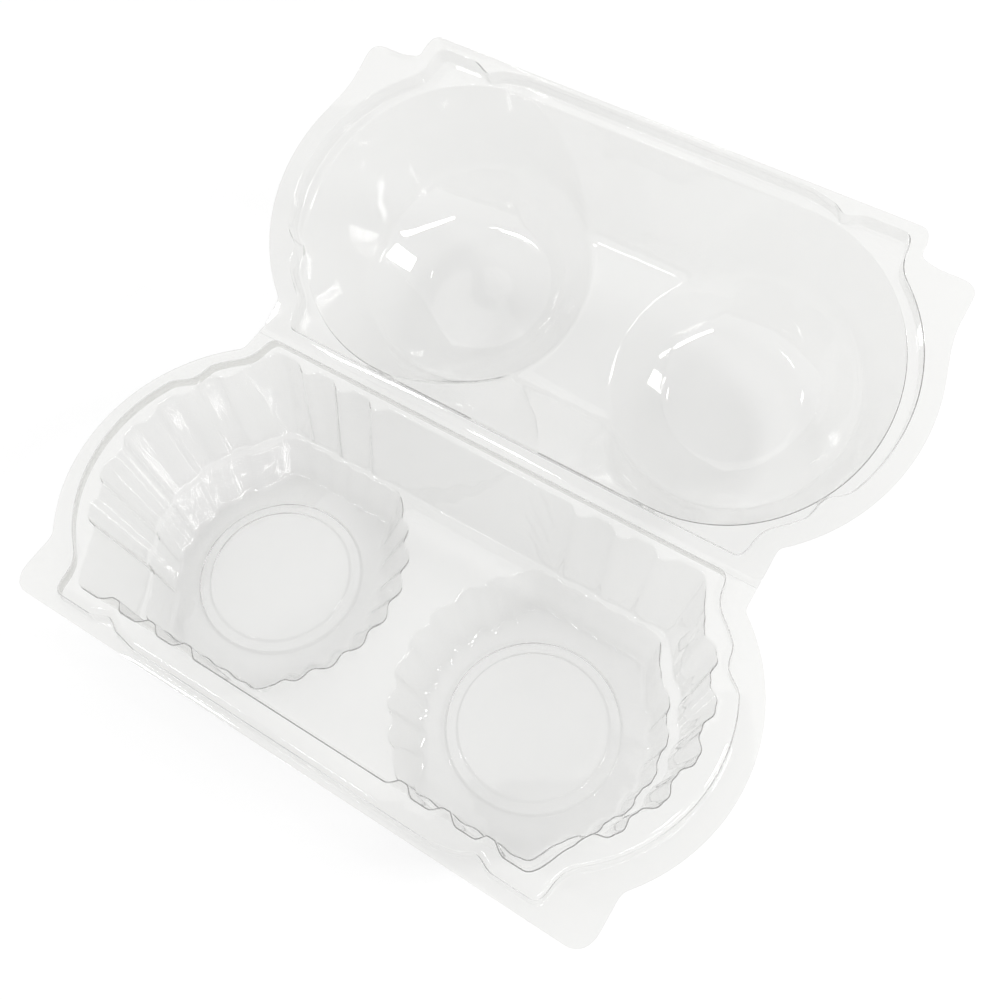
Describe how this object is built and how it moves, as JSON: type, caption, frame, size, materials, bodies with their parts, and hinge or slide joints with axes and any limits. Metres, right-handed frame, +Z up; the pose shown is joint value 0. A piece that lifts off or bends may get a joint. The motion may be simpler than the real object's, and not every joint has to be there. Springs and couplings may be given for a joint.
{
  "type": "two-cup clamshell food pack",
  "caption": "Clear thermoformed clamshell pack shown open: a fluted tray with paired round cups, and a domed lid on a folded hinge that snaps over the tray's rim",
  "frame": {"origin": "centre of the bounding box's footprint, at the level the pack stands on", "axes": "+X along the hinge line, +Y from the tray to the lid, +Z up out of the cups"},
  "size_m": [0.2158, 0.211, 0.082],
  "materials": {
    "clear_pet": "clear, glossy thermoformed PET sheet"
  },
  "bodies": {
    "tray": {"base_tray": "clear_pet"},
    "lid": {"lid": "clear_pet"}
  },
  "joints": [
    {"name": "lid_hinge", "type": "hinge", "parent": "tray", "child": "lid", "pos_m": [0, 0.00283, 0.04135], "axis": [1, 0, 0], "range_deg": [-22.14, 157.85]}
  ]
}
